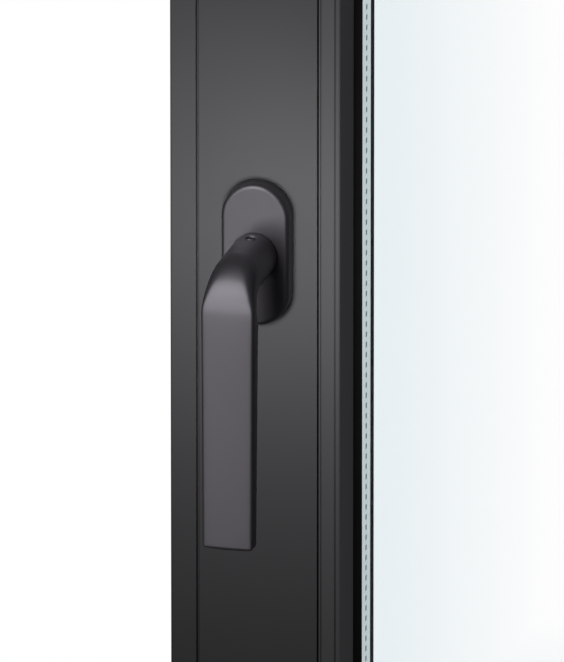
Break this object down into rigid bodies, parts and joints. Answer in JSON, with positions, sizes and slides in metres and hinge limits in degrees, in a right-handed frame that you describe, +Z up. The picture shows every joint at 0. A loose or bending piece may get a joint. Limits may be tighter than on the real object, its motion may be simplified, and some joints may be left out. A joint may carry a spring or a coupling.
{
  "type": "tilt-and-turn window sash with lever handle",
  "caption": "Grey aluminium tilt-and-turn window sash with double glazing, a cranked lever handle on an oval rosette, edge gearing with cams, and hinge knuckles.",
  "frame": {"origin": "centre of the lower hinge bore's mouth, on the axis the sash turns about", "axes": "+X right seen from the room, +Y towards the outdoors, +Z up along the hinge axis"},
  "size_m": [0.5365, 0.1313, 0.72],
  "materials": {
    "frame_coat": "matt grey powder coat",
    "bead_coat": "matt grey powder coat",
    "lever_coat": "satin grey coat",
    "aluminium": "mill finish",
    "steel": "zinc plated",
    "hardened_steel": "blackened",
    "zinc": "die cast",
    "gasket": "black EPDM",
    "glass": "clear float glass",
    "spacer": "satin, perforated inner face",
    "polyamide": "glass-fibre filled, black",
    "nylon": "self-lubricating",
    "sealant": "cured two-part sealant",
    "butyl": "soft butyl",
    "beads_dry": "drying beads, modelled as a solid fill",
    "block_plastic": "moulded blocks",
    "cap_plastic": "moulded cap"
  },
  "bodies": {
    "sash": {"bottom_bead": "bead_coat", "bottom_corner_plate": "steel", "bottom_faceplate": "steel", "bottom_rail_inner": "frame_coat", "bottom_rail_outer": "frame_coat", "click_balls": "hardened_steel", "click_springs": "hardened_steel", "corner_leaves": "steel", "desiccant_fill": "beads_dry", "edge_sealant": "sealant", "gearbox_case": "zinc", "gearbox_lid": "steel", "glazing_blocks": "block_plastic", "hardware_screws": "steel", "inner_butyl": "butyl", "inner_corner_cleats": "aluminium", "inner_glazing_gasket": "gasket", "inner_pane": "glass", "left_bead": "bead_coat", "left_stile_inner": "frame_coat", "left_stile_outer": "frame_coat", "lower_hinge_bracket": "frame_coat", "lower_hinge_bush": "nylon", "lower_hinge_cap": "cap_plastic", "neck_bush": "nylon", "outer_butyl": "butyl", "outer_corner_cleats": "aluminium", "outer_glazing_gasket": "gasket", "outer_pane": "glass", "right_bead": "bead_coat", "right_stile_inner": "frame_coat", "right_stile_outer": "frame_coat", "rosette_base": "zinc", "rosette_screws": "steel", "spacer_bar": "spacer", "stay_plate": "steel", "stay_rivet": "steel", "stile_faceplate": "steel", "stop_gasket": "gasket", "thermal_breaks": "polyamide", "top_bead": "bead_coat", "top_corner_plate": "steel", "top_faceplate": "steel", "top_rail_inner": "frame_coat", "top_rail_outer": "frame_coat"},
    "lever_set": {"lever": "lever_coat", "spindle": "steel", "grub_screw": "hardened_steel", "pinion": "steel", "click_disc": "steel"},
    "stile_drive": {"stile_drive_rod": "steel", "stile_cams": "steel"},
    "top_drive": {"top_drive_rod": "steel", "top_cam": "steel"},
    "bottom_drive": {"bottom_drive_rod": "steel", "bottom_cam": "steel"},
    "cover": {"rosette_cover": "lever_coat"},
    "stay": {"stay_arm": "steel", "upper_hinge_bush": "nylon"}
  },
  "joints": [
    {"name": "lever_turn", "type": "hinge", "parent": "sash", "child": "lever_set", "pos_m": [-0.4844, 0.01, 0.342], "axis": [0, -1, 0], "range_deg": [0, 180]},
    {"name": "stile_rod_slide", "type": "slide", "parent": "sash", "child": "stile_drive", "axis": [0, 0, -1], "range_m": [0, 0.03534]},
    {"name": "top_rod_slide", "type": "slide", "parent": "sash", "child": "top_drive", "axis": [-1, 0, 0], "range_m": [0, 0.03534]},
    {"name": "bottom_rod_slide", "type": "slide", "parent": "sash", "child": "bottom_drive", "axis": [1, 0, 0], "range_m": [0, 0.03534]},
    {"name": "cover_lift", "type": "slide", "parent": "sash", "child": "cover", "axis": [0, -1, 0], "range_m": [0, 0.008]},
    {"name": "stay_swing", "type": "hinge", "parent": "sash", "child": "stay", "pos_m": [-0.2, 0.0295, 0.6824], "axis": [0, 0, 1], "range_deg": [0, 30]}
  ],
  "couplings": [
    {"joint": "stile_rod_slide", "follows": "lever_turn", "m_per_rad": 0.01125},
    {"joint": "top_rod_slide", "follows": "lever_turn", "m_per_rad": 0.01125},
    {"joint": "bottom_rod_slide", "follows": "lever_turn", "m_per_rad": 0.01125}
  ]
}
